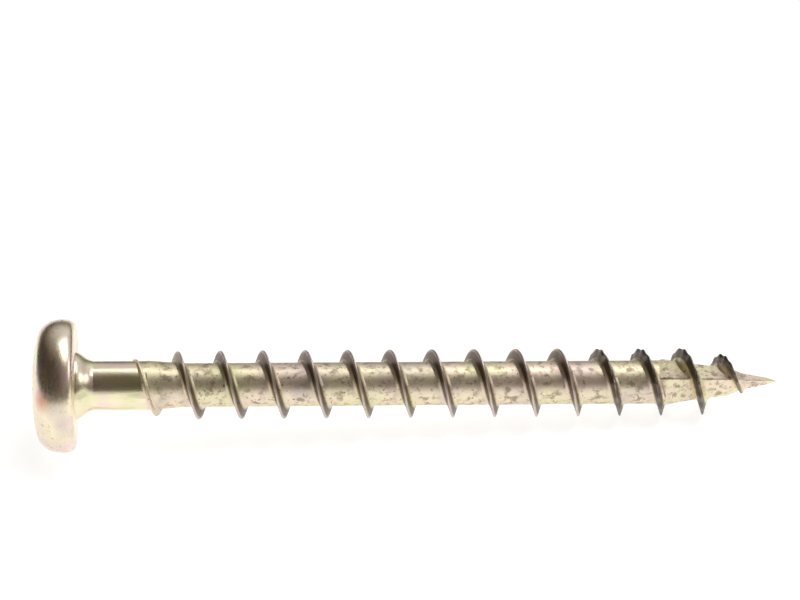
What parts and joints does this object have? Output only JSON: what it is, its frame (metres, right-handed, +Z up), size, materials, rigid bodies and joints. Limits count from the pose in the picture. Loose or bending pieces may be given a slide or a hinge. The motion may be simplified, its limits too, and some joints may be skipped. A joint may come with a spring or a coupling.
{
  "type": "wood screw",
  "caption": "Pan-head wood screw with a six-lobe recess, short plain shank, coarse single-start thread and a four-sided sharp point.",
  "frame": {"origin": "centre of the bearing face under the head, on the screw's axis", "axes": "+X along the screw's axis from the head to the tip; +Z up, with the screw lying on its side"},
  "size_m": [0.0529, 0.0094, 0.0094],
  "materials": {
    "plated_head": "glossy",
    "plated_shank": "glossy",
    "plated_thread": "glossy"
  },
  "bodies": {
    "root": {"head": "plated_head", "neck": "plated_shank", "plain_shank": "plated_shank", "threaded_core": "plated_thread", "body_thread": "plated_thread", "point_core": "plated_thread", "point_thread": "plated_thread"}
  },
  "joints": []
}
